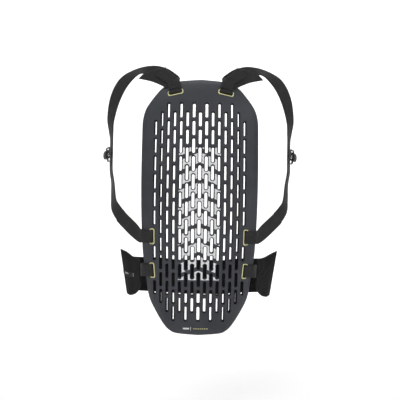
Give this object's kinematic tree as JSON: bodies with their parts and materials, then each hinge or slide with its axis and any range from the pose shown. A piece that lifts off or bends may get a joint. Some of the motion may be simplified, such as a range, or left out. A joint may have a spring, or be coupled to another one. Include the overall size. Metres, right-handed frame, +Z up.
{
  "type": "back protector",
  "caption": "Perforated, curved back plate worn on the back, with adjustable shoulder straps and an elastic waist belt that closes at the front.",
  "frame": {"origin": "point on the plate's body side, at half its width and half its height", "axes": "+Z up along the wearer's spine, +Y out of the plate's body side towards the wearer, +X to the wearer's right seen from behind"},
  "size_m": [0.396, 0.1645, 0.5191],
  "materials": {
    "plate": "satin moulded foam plastic",
    "liner": "pale yellow moulded trim",
    "webbing": "woven polyester webbing",
    "buckle": "glossy acetal",
    "wing": "padded knitted fabric",
    "elastic": "wide ribbed elastic",
    "hook": "hook fastener",
    "loop_pile": "brushed loop pile",
    "label": "woven grey label, blank"
  },
  "bodies": {
    "protector": {"back_plate": "plate", "top_liner_left": "liner", "top_liner_right": "liner", "side_liner_left": "liner", "side_liner_right": "liner", "belt_liner_left": "liner", "belt_liner_right": "liner", "top_loop_left": "webbing", "top_loop_right": "webbing", "side_loop_left": "webbing", "side_loop_right": "webbing", "belt_loop_left": "webbing", "belt_loop_right": "webbing"},
    "strap_left": {"upper_strap_left": "webbing", "top_tail_left": "webbing", "lower_strap_left": "webbing", "side_tail_left": "webbing"},
    "adjuster_left": {"adjuster_frame_left": "buckle", "adjuster_bar_left": "buckle", "webbing_fold_left": "webbing"},
    "strap_right": {"upper_strap_right": "webbing", "top_tail_right": "webbing", "lower_strap_right": "webbing", "side_tail_right": "webbing"},
    "adjuster_right": {"adjuster_frame_right": "buckle", "adjuster_bar_right": "buckle", "webbing_fold_right": "webbing"},
    "belt_left": {"belt_wing_left": "wing", "belly_band_left": "elastic", "hook_patch_left": "hook", "wing_label_left": "label"},
    "belt_right": {"belt_wing_right": "wing", "belly_band_right": "elastic", "loop_patch_right": "loop_pile"}
  },
  "joints": [
    {"name": "strap_left_swing", "type": "hinge", "parent": "protector", "child": "strap_left", "pos_m": [-0.0536, 0.019, 0.2468], "axis": [0.2028, 0.0131, 0.9791], "range_deg": [-20, 40]},
    {"name": "strap_right_swing", "type": "hinge", "parent": "protector", "child": "strap_right", "pos_m": [0.0536, 0.019, 0.2468], "axis": [-0.2028, 0.0131, 0.9791], "range_deg": [-40, 20]},
    {"name": "adjuster_left_slide", "type": "slide", "parent": "strap_left", "child": "adjuster_left", "axis": [0, 0, 1], "range_m": [-0.014, 0.014]},
    {"name": "adjuster_right_slide", "type": "slide", "parent": "strap_right", "child": "adjuster_right", "axis": [0, 0, 1], "range_m": [-0.014, 0.014]},
    {"name": "belt_left_open", "type": "hinge", "parent": "protector", "child": "belt_left", "pos_m": [-0.111, 0.0285, -0.12], "axis": [0, 0, 1], "range_deg": [0, 75]},
    {"name": "belt_right_open", "type": "hinge", "parent": "protector", "child": "belt_right", "pos_m": [0.111, 0.0285, -0.12], "axis": [0, 0, 1], "range_deg": [-30, 0]}
  ],
  "couplings": [
    {"joint": "belt_right_open", "follows": "belt_left_open", "ratio": -0.4}
  ]
}
